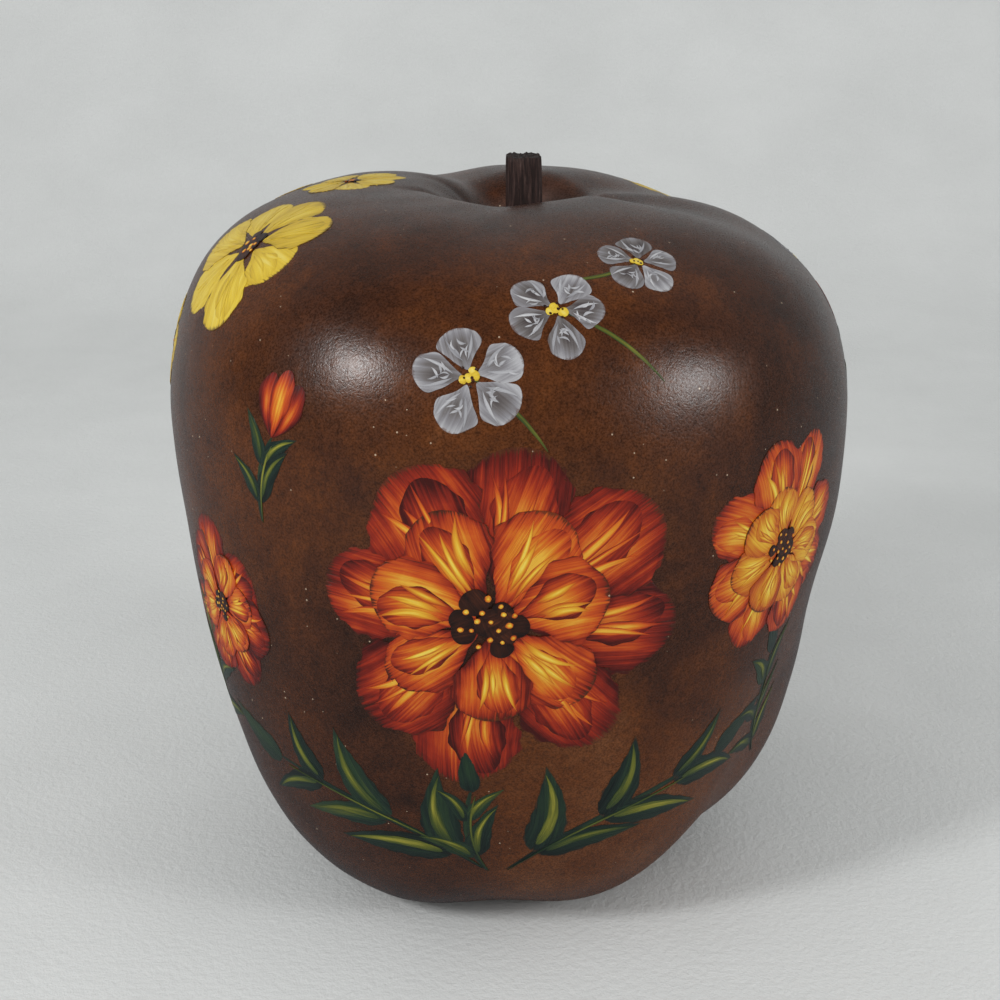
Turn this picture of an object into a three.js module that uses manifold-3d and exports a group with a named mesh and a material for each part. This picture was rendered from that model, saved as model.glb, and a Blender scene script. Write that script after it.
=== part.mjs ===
import * as THREE from 'three';
import Module from 'manifold-3d';
import { mergeVertices } from 'three/addons/utils/BufferGeometryUtils.js';

// A painted apple gourd: a dried, hollow fruit with five soft lobes, stood upright on its own feet,
// with its woody stem left on. Inside are the dried pulp skin, the pulp core with its three lobes,
// the seeds that still hang on them and a few that have come loose and rattle on the floor.
// Millimetres, +Z up. The feet stand on z = 0 and the front faces -Y.

// Outer skin of the body
const BELLY_RADIUS = 90;
const BELLY_HEIGHT = 136;
const CROWN_RADIUS = 27.5;
const CROWN_HEIGHT = 191;
const STEM_PIT_DEPTH = 17;
const FOOT_RADIUS = 32;
const FOOT_FLAT_DEPTH = 1.2;
const NAVEL_DEPTH = 8;

// How far each round stretch of the outline carries on before it turns, as a share of its reach
const PIT_FLOOR_FULLNESS = 0.5;
const PIT_WALL_FULLNESS = 0.5;
const SHOULDER_FULLNESS = 0.6;
const UPPER_CHEEK_FULLNESS = 0.73;
const LOWER_CHEEK_FULLNESS = 0.48;
const UNDERSIDE_FULLNESS = 0.79;
const FOOT_EDGE_FULLNESS = 0.4;
const NAVEL_FULLNESS = 0.4;

// The fruit grew unevenly: it bulges to its right, and its stem and navel are off its axis
const SIDE_BULGE = 4.5;
const STEM_OFFSET = 8.5;
const NAVEL_OFFSET = -1;
const OFFSET_REACH = 40;
const SHOULDER_FALL = 0.01;

// Furrows between the lobes: angle from the front, depth at the crown, depth at the feet
const FURROWS = [
  { angle: 0, crownDepth: 1.2, footDepth: 3.4 },
  { angle: 61, crownDepth: 0, footDepth: 5 },
  { angle: 84, crownDepth: 3.8, footDepth: 0 },
  { angle: 120, crownDepth: 4.1, footDepth: 5.5 },
  { angle: 201, crownDepth: 3.3, footDepth: 5.3 },
  { angle: 274, crownDepth: 0, footDepth: 8.2 },
];
const FURROW_HALF_ANGLE = 18;
const FURROW_START_RADIUS = 22;
const CROWN_FURROW_EASE = 1.5;
const FOOT_FURROW_EASE = 1.2;

// Soft hollows in the cheek on the right, and swells where the depth is below zero
const DENTS = [
  { angle: 90, height: 112, depth: -0.8 },
  { angle: 90, height: 85, depth: 1.8 },
  { angle: 90, height: 28, depth: -2.5 },
];
const DENT_HALF_ANGLE = 28;
const DENT_HALF_HEIGHT = 18;

// Layers of the hollow body
const RIND_WALL = 5;
const PULP_SKIN_WALL = 1.6;
const FIT_GAP = 0.3;

// Woody stem: a ribbed stub on the skin, with a round root that goes down through the body's top
const STEM_LENGTH = 24.5;
const STEM_FOOT_RADIUS = 5.8;
const STEM_NECK_RADIUS = 4.9;
const STEM_WAIST_RADIUS = 4.5;
const STEM_TOP_RADIUS = 4.7;
const STEM_RIB_DEPTH = 0.45;
const STEM_RIBS = 5;
const STEM_FLARE_HEIGHT = 2.5;
const STEM_TOP_CHAMFER = 0.6;
const STEM_LEAN = 0.4;
const STEM_ROOT_RADIUS = 3.2;
const STEM_ROOT_REACH = 1.5;

// Corky scar where the blossom was
const SCAR_RADIUS = 6;
const SCAR_FACE_RADIUS = 4;
const SCAR_RIM_THICKNESS = 0.5;
const SCAR_THICKNESS = 1.6;

// Dried pulp: a column from the stem's root to the navel, with three lobes round it
const CORE_RADIUS = 6.5;
const CORE_END_RADIUS = 9;
const CORE_END_HEIGHT = 12;
const PULP_LOBES = 3;
const FIRST_LOBE_ANGLE = 60;
const LOBE_THICKNESS = 9;
const LOBE_EDGE_BEVEL = 1.2;
const LOBE_BOTTOM_CLEARANCE = 32;
const LOBE_TOP_CLEARANCE = 26;
const LOBE_TIP_RADIUS = 12;
const LOBE_REACH = 44;

// Seeds
const SEED_LENGTH = 16;
const SEED_WIDTH = 8;
const SEED_THICKNESS = 3.6;
const SEEDS_PER_ROW = 6;
const SEED_ROW_OFFSET = 2.3;
const LOOSE_SEED_DRIFT = 4;
const LOOSE_SEEDS = [
  { angle: 27, turn: 12 },
  { angle: 84, turn: -20 },
  { angle: 137, turn: 35 },
  { angle: 172, turn: 5 },
  { angle: 240, turn: -30 },
  { angle: 320, turn: 18 },
];

// A seed's width and thickness along its length, as shares of the full sizes
const SEED_FORM = [
  { along: 0.06, width: 0.34, thickness: 0.45 },
  { along: 0.34, width: 0.76, thickness: 0.92 },
  { along: 0.7, width: 1, thickness: 1 },
  { along: 0.94, width: 0.66, thickness: 0.6 },
];

// Facets
const ROUND_SIDES = 36;
const STEM_SIDES = 20;
const CORE_SIDES = 12;
const SEED_SIDES = 8;
const LOBE_CURVE_STEPS = 8;
const OUTER_STEPS = { pit: 5, shoulder: 9, cheek: 9, underside: 4 };
const INNER_STEPS = { pit: 2, shoulder: 5, cheek: 5, underside: 2 };

const HALVINGS = 40;

const FULL_TURN = 2 * Math.PI;
const AXIS_X = -SIDE_BULGE;
const STEM_X = AXIS_X + STEM_OFFSET;
const NAVEL_X = AXIS_X + NAVEL_OFFSET;
const STEM_SEAT_HEIGHT = CROWN_HEIGHT - STEM_PIT_DEPTH;
const STEM_TOP_HEIGHT = STEM_SEAT_HEIGHT + STEM_LENGTH;
const STEM_HOLE_RADIUS = STEM_ROOT_RADIUS + FIT_GAP;

const RIND = { color: 0x4f2c17, roughness: 0.4 };
const STEM_WOOD = { color: 0x2e2221, roughness: 0.75 };
const CORK = { color: 0x6d5138, roughness: 0.9 };
const PULP = { color: 0xb9996a, roughness: 0.95 };
const SEED_COAT = { color: 0xa98a5c, roughness: 0.7 };

const wasm = await Module();
wasm.setup();

function smooth(value) {
  return THREE.MathUtils.smoothstep(value, 0, 1);
}

// Outline of the skin from the stem pit over the crown, the belly and the foot to the navel
const seat = new THREE.Vector2(0, STEM_SEAT_HEIGHT);
const crown = new THREE.Vector2(CROWN_RADIUS, CROWN_HEIGHT);
const belly = new THREE.Vector2(BELLY_RADIUS, BELLY_HEIGHT);
const foot = new THREE.Vector2(FOOT_RADIUS, -FOOT_FLAT_DEPTH);
const navel = new THREE.Vector2(0, NAVEL_DEPTH);

function span(start, leave, arrive, end) {
  const startHandle = start.clone().add(new THREE.Vector2(leave.across ?? 0, leave.up ?? 0));
  const endHandle = end.clone().add(new THREE.Vector2(arrive.across ?? 0, arrive.up ?? 0));
  return new THREE.CubicBezierCurve(start, startHandle, endHandle, end);
}

const outline = {
  pit: span(seat, { across: PIT_FLOOR_FULLNESS * CROWN_RADIUS },
    { across: -PIT_WALL_FULLNESS * CROWN_RADIUS }, crown),
  shoulder: span(crown, { across: SHOULDER_FULLNESS * (BELLY_RADIUS - CROWN_RADIUS) },
    { up: UPPER_CHEEK_FULLNESS * (CROWN_HEIGHT - BELLY_HEIGHT) }, belly),
  cheek: span(belly, { up: -LOWER_CHEEK_FULLNESS * BELLY_HEIGHT },
    { across: UNDERSIDE_FULLNESS * (BELLY_RADIUS - FOOT_RADIUS) }, foot),
  underside: span(foot, { across: -FOOT_EDGE_FULLNESS * FOOT_RADIUS },
    { across: NAVEL_FULLNESS * FOOT_RADIUS }, navel),
};

// A station counts the spans from the stem pit, so 1.5 is halfway along the second one
const spans = Object.values(outline);
const [pitStart, shoulderStart, cheekStart, undersideStart] = spans.keys();
const navelStation = spans.length;

function outlineAt(station) {
  const index = Math.min(Math.floor(station), spans.length - 1);
  const share = station - index;
  const point = spans[index].getPoint(share);
  const tangent = spans[index].getTangent(share);
  return { radius: point.x, height: point.y, outward: new THREE.Vector2(-tangent.y, tangent.x) };
}

// Station inside the span with the given start at which the outline has the given radius
function stationOfRadius(start, radius) {
  let low = 0;
  let high = 1;
  const rising = spans[start].getPoint(1).x > spans[start].getPoint(0).x;
  for (let halving = 0; halving < HALVINGS; halving += 1) {
    const middle = (low + high) / 2;
    const before = spans[start].getPoint(middle).x < radius;
    if (before === rising) {
      low = middle;
    } else {
      high = middle;
    }
  }
  return start + (low + high) / 2;
}

// A share that is one where the angle meets the given one and fades to either side of it
function nearness(angle, degrees, halfAngle) {
  const away = angle - THREE.MathUtils.degToRad(degrees);
  const nearest = THREE.MathUtils.euclideanModulo(away + Math.PI, FULL_TURN) - Math.PI;
  return Math.exp(-((nearest / THREE.MathUtils.degToRad(halfAngle)) ** 2));
}

function furrowDepth(angle, radius, height) {
  const rise = THREE.MathUtils.clamp((height - BELLY_HEIGHT) / (CROWN_HEIGHT - BELLY_HEIGHT), 0, 1);
  const drop = THREE.MathUtils.clamp((BELLY_HEIGHT - height) / BELLY_HEIGHT, 0, 1);
  const crownShare = rise ** CROWN_FURROW_EASE;
  const footShare = smooth(drop * FOOT_FURROW_EASE);
  let depth = 0;
  for (const furrow of FURROWS) {
    const share = nearness(angle, furrow.angle, FURROW_HALF_ANGLE);
    depth += share * (furrow.crownDepth * crownShare + furrow.footDepth * footShare);
  }
  return depth * smooth(radius / FURROW_START_RADIUS);
}

function dentDepth(angle, height) {
  let depth = 0;
  for (const dent of DENTS) {
    const level = Math.exp(-(((height - dent.height) / DENT_HALF_HEIGHT) ** 2));
    depth += dent.depth * level * nearness(angle, dent.angle, DENT_HALF_ANGLE);
  }
  return depth;
}

// A point of the body, inset from the outer skin; a negative inset stands proud of it.
// The angle is counted from the front towards the right
function skinPoint(station, angle, inset = 0) {
  const { radius, height, outward } = outlineAt(station);
  const sunk = furrowDepth(angle, radius, height) + dentDepth(angle, height) + inset;
  const reach = radius - outward.x * sunk;
  const level = height - outward.y * sunk;
  const bulge = 1 + (SIDE_BULGE / BELLY_RADIUS) * Math.sin(angle);
  const inward = 1 - smooth(radius / OFFSET_REACH);
  const offset = (height > BELLY_HEIGHT ? STEM_OFFSET : NAVEL_OFFSET) * inward;
  const fromAxis = reach * Math.sin(angle) * bulge + offset;
  const rise = (height - BELLY_HEIGHT) / (CROWN_HEIGHT - BELLY_HEIGHT);
  const fall = SHOULDER_FALL * fromAxis * smooth(rise);
  return new THREE.Vector3(AXIS_X + fromAxis, -reach * Math.cos(angle), level - fall);
}

function anglesOf(sides) {
  return Array.from({ length: sides }, (_, side) => (side / sides) * FULL_TURN);
}

function skinRing(station, inset, sides = ROUND_SIDES) {
  return anglesOf(sides).map((angle) => skinPoint(station, angle, inset));
}

function roundRing(centre, radius, sides, height = () => centre.z) {
  return anglesOf(sides).map((angle) => new THREE.Vector3(
    centre.x + radius * Math.sin(angle), centre.y - radius * Math.cos(angle), height(angle)));
}

// A closed body through a row of rings, all counted the same way round and going up the outside.
// A pole is a ring of one point. From the turning ring on, the rings run back down the inside, where
// the facets are cut along the other diagonal, so that both sides of a wall have them alike
function loft(rings, turning = Infinity) {
  const points = [];
  const starts = [];
  for (const ring of rings) {
    starts.push(points.length);
    points.push(...ring);
  }
  const faces = [];
  for (let level = 0; level + 1 < rings.length; level += 1) {
    const lower = rings[level];
    const upper = rings[level + 1];
    const sides = Math.max(lower.length, upper.length);
    for (let side = 0; side < sides; side += 1) {
      const next = (side + 1) % sides;
      const a = starts[level] + (side % lower.length);
      const b = starts[level] + (next % lower.length);
      const c = starts[level + 1] + (next % upper.length);
      const d = starts[level + 1] + (side % upper.length);
      const pair = level < turning ? [[a, b, c], [a, c, d]] : [[a, b, d], [b, c, d]];
      faces.push(...pair.filter((corners) => new Set(corners).size === 3).flat());
    }
  }
  const geometry = new THREE.BufferGeometry().setFromPoints(points);
  geometry.setIndex(faces);
  geometry.computeVertexNormals();
  return geometry;
}

// Stations at even steps after the first, up to and with the last
function evenly(first, last, steps) {
  return Array.from({ length: steps }, (_, step) => first + ((last - first) * (step + 1)) / steps);
}

const holeStation = stationOfRadius(pitStart, STEM_HOLE_RADIUS);
const stemFootStation = stationOfRadius(pitStart, STEM_FOOT_RADIUS);
const scarStation = stationOfRadius(undersideStart, SCAR_RADIUS);

// Stations of a layer's rings from below the hole's edge down to the ring round the navel
function stationsOf(steps) {
  return [
    stemFootStation,
    ...evenly(stemFootStation, shoulderStart, steps.pit),
    ...evenly(shoulderStart, cheekStart, steps.shoulder),
    ...evenly(cheekStart, undersideStart, steps.cheek),
    ...evenly(undersideStart, scarStation, steps.underside),
  ];
}

// One side of a layer, as rings from its navel up to the round hole in its top
function layerRings(inset, steps) {
  const rings = stationsOf(steps).map((station) => skinRing(station, inset)).reverse();
  const navelPoint = skinPoint(navelStation, 0, inset);
  const edgeHeight = (angle) => skinPoint(holeStation, angle, inset).z;
  const centre = new THREE.Vector3(STEM_X, 0, 0);
  return [[navelPoint], ...rings, roundRing(centre, STEM_HOLE_RADIUS, ROUND_SIDES, edgeHeight)];
}

// A hollow layer of the body, open only at the stem's hole
function hollowLayer(outerInset, wall, outerSteps, innerSteps) {
  const outside = layerRings(outerInset, outerSteps);
  const inside = layerRings(outerInset + wall, innerSteps).reverse();
  return loft([...outside, ...inside], outside.length);
}

function solidOf(geometry) {
  const bare = geometry.clone();
  bare.deleteAttribute('normal');
  bare.deleteAttribute('uv');
  const merged = mergeVertices(bare);
  return new wasm.Manifold(new wasm.Mesh({
    numProp: 3,
    vertProperties: new Float32Array(merged.getAttribute('position').array),
    triVerts: new Uint32Array(merged.getIndex().array),
  }));
}

function geometryOf(solid) {
  const mesh = solid.getMesh();
  const geometry = new THREE.BufferGeometry();
  geometry.setAttribute('position', new THREE.BufferAttribute(mesh.vertProperties, mesh.numProp));
  geometry.setIndex(new THREE.BufferAttribute(mesh.triVerts, 1));
  geometry.computeVertexNormals();
  return geometry;
}

// The feet are rubbed flat: all that reaches below the floor is cut away
function standOnFloor(geometry) {
  const side = 2 * (BELLY_RADIUS + SIDE_BULGE + RIND_WALL);
  const depth = FOOT_FLAT_DEPTH + RIND_WALL;
  const floor = new THREE.BoxGeometry(side, side, depth).translate(0, 0, -depth / 2);
  return geometryOf(solidOf(geometry).subtract(solidOf(floor)));
}

const pulpSkinInset = RIND_WALL + FIT_GAP;
const cavityInset = pulpSkinInset + PULP_SKIN_WALL;
const cavityTop = skinPoint(pitStart, 0, cavityInset);
const cavityBottom = skinPoint(navelStation, 0, cavityInset);
const stemRootBottom = cavityTop.z - STEM_ROOT_REACH;

function stemRing(radius, height) {
  const lean = STEM_LEAN * ((height - STEM_SEAT_HEIGHT) / STEM_LENGTH);
  return anglesOf(STEM_SIDES).map((angle) => {
    const ribbed = radius + STEM_RIB_DEPTH * Math.cos(STEM_RIBS * angle);
    return new THREE.Vector3(STEM_X + lean + ribbed * Math.sin(angle), -ribbed * Math.cos(angle), height);
  });
}

function stemGeometry() {
  const rootCentre = new THREE.Vector3(STEM_X, 0, stemRootBottom);
  const underEdge = (angle) => skinPoint(holeStation, angle, -FIT_GAP).z;
  const footRing = skinRing(stemFootStation, -FIT_GAP, STEM_SIDES);
  const neckHeight = Math.max(...footRing.map((point) => point.z)) + STEM_FLARE_HEIGHT;
  const waistHeight = (neckHeight + STEM_TOP_HEIGHT) / 2;
  return loft([
    [rootCentre],
    roundRing(rootCentre, STEM_ROOT_RADIUS, STEM_SIDES),
    roundRing(rootCentre, STEM_ROOT_RADIUS, STEM_SIDES, underEdge),
    footRing,
    stemRing(STEM_NECK_RADIUS, neckHeight),
    stemRing(STEM_WAIST_RADIUS, waistHeight),
    stemRing(STEM_TOP_RADIUS, STEM_TOP_HEIGHT - STEM_TOP_CHAMFER),
    stemRing(STEM_TOP_RADIUS - STEM_TOP_CHAMFER, STEM_TOP_HEIGHT),
    [new THREE.Vector3(STEM_X + STEM_LEAN, 0, STEM_TOP_HEIGHT)],
  ]);
}

// A thin lens that lies under the navel and follows its skin
function scarGeometry() {
  const faceStation = stationOfRadius(undersideStart, SCAR_FACE_RADIUS);
  return loft([
    [skinPoint(navelStation, 0, -FIT_GAP - SCAR_THICKNESS)],
    skinRing(faceStation, -FIT_GAP - SCAR_THICKNESS, STEM_SIDES),
    skinRing(scarStation, -FIT_GAP - SCAR_RIM_THICKNESS, STEM_SIDES),
    skinRing(scarStation, -FIT_GAP, STEM_SIDES),
    [skinPoint(navelStation, 0, -FIT_GAP)],
  ]);
}

// The pulp stands in its own frame: its origin is the core's foot, and its +Z runs up the core.
// The core leans from the navel to the stem, so its ends stand off by what their edges drop or rise
const coreLean = Math.abs(STEM_X - NAVEL_X) / (stemRootBottom - cavityBottom.z);
const coreFootHeight = cavityBottom.z + FIT_GAP + CORE_END_RADIUS * coreLean;
const coreTopHeight = stemRootBottom - FIT_GAP - STEM_ROOT_RADIUS * coreLean;
const coreBottom = new THREE.Vector3(NAVEL_X, 0, coreFootHeight);
const coreTop = new THREE.Vector3(STEM_X, 0, coreTopHeight);
const coreLength = coreTop.distanceTo(coreBottom);

function coreGeometry() {
  const levels = [
    [CORE_END_RADIUS, 0],
    [CORE_RADIUS, CORE_END_HEIGHT],
    [CORE_RADIUS, coreLength - CORE_END_HEIGHT],
    [CORE_END_RADIUS, coreLength],
  ];
  const rings = levels.map(([radius, height]) => (
    roundRing(new THREE.Vector3(0, 0, height), radius, CORE_SIDES)));
  return loft([[new THREE.Vector3(0, 0, 0)], ...rings, [new THREE.Vector3(0, 0, coreLength)]]);
}

const lobeBottom = new THREE.Vector2(LOBE_TIP_RADIUS, LOBE_BOTTOM_CLEARANCE);
const lobeTop = new THREE.Vector2(LOBE_TIP_RADIUS, coreLength - LOBE_TOP_CLEARANCE);
const lobeSwell = new THREE.Vector2(2 * LOBE_REACH - LOBE_TIP_RADIUS, (lobeBottom.y + lobeTop.y) / 2);
const lobeEdge = new THREE.QuadraticBezierCurve(lobeBottom, lobeSwell, lobeTop);

// A pulp lobe is a flat leaf that stands out from the core, with bevelled edges
function lobeGeometry() {
  const shape = new THREE.Shape();
  const innerRadius = CORE_RADIUS + FIT_GAP;
  shape.moveTo(innerRadius, lobeBottom.y);
  shape.lineTo(lobeBottom.x, lobeBottom.y);
  shape.quadraticCurveTo(lobeSwell.x, lobeSwell.y, lobeTop.x, lobeTop.y);
  shape.lineTo(innerRadius, lobeTop.y);
  shape.closePath();
  const geometry = new THREE.ExtrudeGeometry(shape, {
    depth: LOBE_THICKNESS - 2 * LOBE_EDGE_BEVEL,
    bevelThickness: LOBE_EDGE_BEVEL,
    bevelSize: LOBE_EDGE_BEVEL,
    bevelOffset: -LOBE_EDGE_BEVEL,
    bevelSegments: 1,
    curveSegments: LOBE_CURVE_STEPS,
  });
  geometry.translate(0, 0, -LOBE_THICKNESS / 2 + LOBE_EDGE_BEVEL);
  geometry.rotateX(Math.PI / 2);
  return geometry;
}

// A flat seed along +X with its narrow end at the origin, wide along Z and thin along Y
function seedGeometry() {
  const rings = SEED_FORM.map(({ along, width, thickness }) => (
    anglesOf(SEED_SIDES).map((angle) => new THREE.Vector3(
      along * SEED_LENGTH,
      Math.sin(angle) * thickness * SEED_THICKNESS / 2,
      -Math.cos(angle) * width * SEED_WIDTH / 2))));
  return loft([[new THREE.Vector3(0, 0, 0)], ...rings, [new THREE.Vector3(SEED_LENGTH, 0, 0)]]);
}

function piece(name, geometry, finish) {
  const material = new THREE.MeshStandardMaterial({ ...finish, metalness: 0 });
  const mesh = new THREE.Mesh(geometry, material);
  mesh.name = name;
  return mesh;
}

const gourd = new THREE.Group();
const rindGeometry = standOnFloor(hollowLayer(0, RIND_WALL, OUTER_STEPS, INNER_STEPS));
const pulpSkin = piece('pulp_lining',
  hollowLayer(pulpSkinInset, PULP_SKIN_WALL, INNER_STEPS, INNER_STEPS), PULP);
gourd.add(piece('gourd_shell', rindGeometry, RIND));
gourd.add(pulpSkin);
gourd.add(piece('stem', stemGeometry(), STEM_WOOD));
gourd.add(piece('blossom_scar', scarGeometry(), CORK));

const pulp = new THREE.Group();
pulp.position.copy(coreBottom);
pulp.quaternion.setFromUnitVectors(
  new THREE.Vector3(0, 0, 1), coreTop.clone().sub(coreBottom).normalize());
pulp.add(piece('pulp_core', coreGeometry(), PULP));

for (let number = 1; number <= PULP_LOBES; number += 1) {
  const lobe = new THREE.Group();
  lobe.rotation.z = THREE.MathUtils.degToRad(FIRST_LOBE_ANGLE) + ((number - 1) / PULP_LOBES) * FULL_TURN;
  lobe.add(piece(`pulp_lobe_${number}`, lobeGeometry(), PULP));
  for (const [side, offset] of [['left', SEED_ROW_OFFSET], ['right', -SEED_ROW_OFFSET]]) {
    for (let place = 1; place <= SEEDS_PER_ROW; place += 1) {
      const share = place / (SEEDS_PER_ROW + 1);
      const tip = lobeEdge.getPointAt(share);
      const run = lobeEdge.getTangentAt(share);
      const outward = new THREE.Vector2(run.y, -run.x);
      const seed = piece(`seed_${number}_${side}_${place}`, seedGeometry(), SEED_COAT);
      seed.position.set(tip.x + outward.x * FIT_GAP, offset, tip.y + outward.y * FIT_GAP);
      seed.rotation.y = -Math.atan2(outward.y, outward.x);
      lobe.add(seed);
    }
  }
  pulp.add(lobe);
}
gourd.add(pulp);

// Lowers a piece until its lowest corner stands the fit gap above the lining's floor
function settle(mesh, floor) {
  mesh.updateMatrixWorld(true);
  floor.updateMatrixWorld(true);
  const position = mesh.geometry.getAttribute('position');
  const down = new THREE.Vector3(0, 0, -1);
  const corner = new THREE.Vector3();
  let room = Infinity;
  for (let index = 0; index < position.count; index += 1) {
    corner.fromBufferAttribute(position, index).applyMatrix4(mesh.matrixWorld);
    const hit = new THREE.Raycaster(corner, down).intersectObject(floor, false)[0];
    room = Math.min(room, hit.distance);
  }
  mesh.position.z -= room - FIT_GAP;
}

// Loose seeds lie flat in the hollows over the feet, a little outside the ring of the feet
LOOSE_SEEDS.forEach(({ angle, turn }, index) => {
  const around = THREE.MathUtils.degToRad(angle);
  const fromAxis = FOOT_RADIUS + LOOSE_SEED_DRIFT;
  const seed = piece(`loose_seed_${index + 1}`, seedGeometry(), SEED_COAT);
  seed.geometry.translate(-SEED_LENGTH / 2, 0, 0);
  seed.geometry.rotateX(Math.PI / 2);
  seed.position.set(AXIS_X + fromAxis * Math.sin(around),
    -fromAxis * Math.cos(around), coreBottom.z + CORE_END_HEIGHT);
  seed.rotation.z = around + THREE.MathUtils.degToRad(turn);
  settle(seed, pulpSkin);
  gourd.add(seed);
});

export default gourd;
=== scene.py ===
"""Looks of a stained, varnished and hand painted apple gourd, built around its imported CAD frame.

Metres, +Z up. The feet stand on z = 0 and the front faces -Y. Angles round the fruit are counted in
degrees from the front towards the right, and heights on it from the floor.
"""

import logging
import math
import random
from contextlib import contextmanager
from dataclasses import dataclass
from enum import Enum
from functools import cached_property, partial
from typing import Any, Callable, Iterator, NamedTuple, Sequence

import bpy
import numpy as np
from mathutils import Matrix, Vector


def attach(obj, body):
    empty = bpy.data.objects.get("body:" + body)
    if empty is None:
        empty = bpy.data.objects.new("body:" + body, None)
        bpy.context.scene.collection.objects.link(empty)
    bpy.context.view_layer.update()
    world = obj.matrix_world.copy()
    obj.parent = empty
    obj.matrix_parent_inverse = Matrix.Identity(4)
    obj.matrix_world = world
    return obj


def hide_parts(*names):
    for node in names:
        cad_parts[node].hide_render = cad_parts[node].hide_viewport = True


logging.basicConfig(level=logging.INFO, format="%(levelname)s %(name)s: %(message)s")
LOG = logging.getLogger("gourd")

MM = 0.001
BODY = "gourd"
GOLDEN_ANGLE = 137.5

Piece = bpy.types.Object
Node = bpy.types.Node
AddNode = Callable[..., Node]
Flat = tuple[float, float]
Place = tuple[float, float, float]
Stops = tuple[tuple[float, str], ...]
Limits = tuple[float, float, float, float]

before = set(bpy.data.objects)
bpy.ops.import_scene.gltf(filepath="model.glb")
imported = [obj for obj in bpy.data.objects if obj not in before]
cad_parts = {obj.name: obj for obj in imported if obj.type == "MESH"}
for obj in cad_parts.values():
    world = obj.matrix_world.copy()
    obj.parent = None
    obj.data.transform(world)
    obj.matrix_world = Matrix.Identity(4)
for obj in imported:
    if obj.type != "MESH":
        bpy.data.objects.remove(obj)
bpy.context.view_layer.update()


# Small helpers


def linear(tone: str) -> tuple[float, ...]:
    """Turns an sRGB hex value into the linear colour that nodes take.

    Args:
        tone: a colour such as "#4f2c17".

    Returns:
        Red, green, blue and an alpha of 1.
    """
    shares = [int(tone[place:place + 2], 16) / 255 for place in (1, 3, 5)]
    return tuple(share / 12.92 if share <= 0.04045 else ((share + 0.055) / 1.055) ** 2.4
                 for share in shares) + (1.0,)


def add_node(tree: bpy.types.NodeTree, kind: str, feeds: dict[str, Any] | Sequence[Any] = (),
             stops: Stops = (), **settings: Any) -> Node:
    """Adds a shader node with its settings, its colour stops and what feeds it.

    Args:
        tree: the node tree.
        kind: the node's type name, without the ShaderNode that all of them start with.
        feeds: values, sockets, or nodes for their first live output, either for the live inputs in
            their order or by the inputs' names.
        stops: positions and sRGB hex values of a colour ramp, lowest first.
        **settings: properties of the node.

    Returns:
        The new node.
    """
    node = tree.nodes.new(f"ShaderNode{kind}")
    for name, value in settings.items():
        setattr(node, name, value)
    if stops:
        elements = node.color_ramp.elements
        elements[0].position, elements[1].position = stops[0][0], stops[-1][0]
        for position, _ in stops[1:-1]:
            elements.new(position)
        for element, (_, tone) in zip(elements, stops):
            element.color = linear(tone)
    if not isinstance(feeds, dict):
        live = [number for number, socket in enumerate(node.inputs) if socket.enabled]
        feeds = dict(zip(live, feeds))
    for socket, value in feeds.items():
        if isinstance(value, Node):
            value = next(output for output in value.outputs if output.enabled)
        if isinstance(value, bpy.types.NodeSocket):
            tree.links.new(value, node.inputs[socket])
        else:
            node.inputs[socket].default_value = value
    return node


def pick(*pieces: Piece) -> None:
    """Leaves object mode with only some pieces selected, or none, and the last of them active.

    Args:
        *pieces: the objects that the next operator acts on.
    """
    if bpy.context.object and bpy.context.object.mode != "OBJECT":
        bpy.ops.object.mode_set(mode="OBJECT")
    bpy.ops.object.select_all(action="DESELECT")
    for piece in pieces:
        piece.select_set(True)
        bpy.context.view_layer.objects.active = piece


@contextmanager
def editing(piece: Piece, select: str = "") -> Iterator[None]:
    """Holds a piece in edit mode.

    Args:
        piece: the object to edit.
        select: SELECT or DESELECT, if that is to be done to all of its mesh first.

    Yields:
        Nothing.
    """
    pick(piece)
    bpy.ops.object.mode_set(mode="EDIT")
    if select:
        bpy.ops.mesh.select_all(action=select)
    yield
    bpy.ops.object.mode_set(mode="OBJECT")


def give_wall(piece: Piece, thickness: float) -> None:
    """Gives an open sheet a wall under it.

    Args:
        piece: the sheet.
        thickness: how thick it becomes.
    """
    pick(piece)
    modifier = piece.modifiers.new("wall", "SOLIDIFY")
    modifier.thickness, modifier.offset = thickness, -1.0
    bpy.ops.object.modifier_apply(modifier=modifier.name)


def smooth_by_angle(piece: Piece, degrees: float) -> None:
    """Shades a piece smooth, apart from edges sharper than an angle."""
    pick(piece)
    bpy.ops.object.shade_smooth_by_angle(angle=math.radians(degrees))


def read_places(mesh: bpy.types.Mesh) -> np.ndarray:
    """Reads where a mesh's vertices are.

    Args:
        mesh: the mesh.

    Returns:
        Coordinates, one row a vertex.
    """
    places = np.zeros(len(mesh.vertices) * 3)
    mesh.vertices.foreach_get("co", places)
    return places.reshape(-1, 3)


def smoothstep(value: np.ndarray | float) -> np.ndarray | float:
    """Eases a share from 0 to 1 without a corner at either end."""
    held = np.clip(value, 0.0, 1.0)
    return held * held * (3 - 2 * held)


def turns(sides: int) -> np.ndarray:
    """Angles in radians of evenly spaced points round a ring."""
    return np.arange(sides) / sides * math.tau


def polar(radius: float, degrees: float) -> Flat:
    """A point of a motif's flat drawing by its distance and its angle from straight up, clockwise."""
    turn = math.radians(degrees)
    return radius * math.sin(turn), radius * math.cos(turn)


# The skin that everything lies on


class Furrow(NamedTuple):
    """A soft furrow between two lobes, with its depth at the crown and at the foot."""

    angle: float
    crown: float
    foot: float


class Dent(NamedTuple):
    """A soft hollow in the cheek, or a swell where its depth is below zero."""

    angle: float
    height: float
    depth: float


class Crease(NamedTuple):
    """A narrow fold that runs out of the stem pit from an inner to an outer radius."""

    angle: float
    depth: float
    half_angle: float
    inner: float
    outer: float


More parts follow.
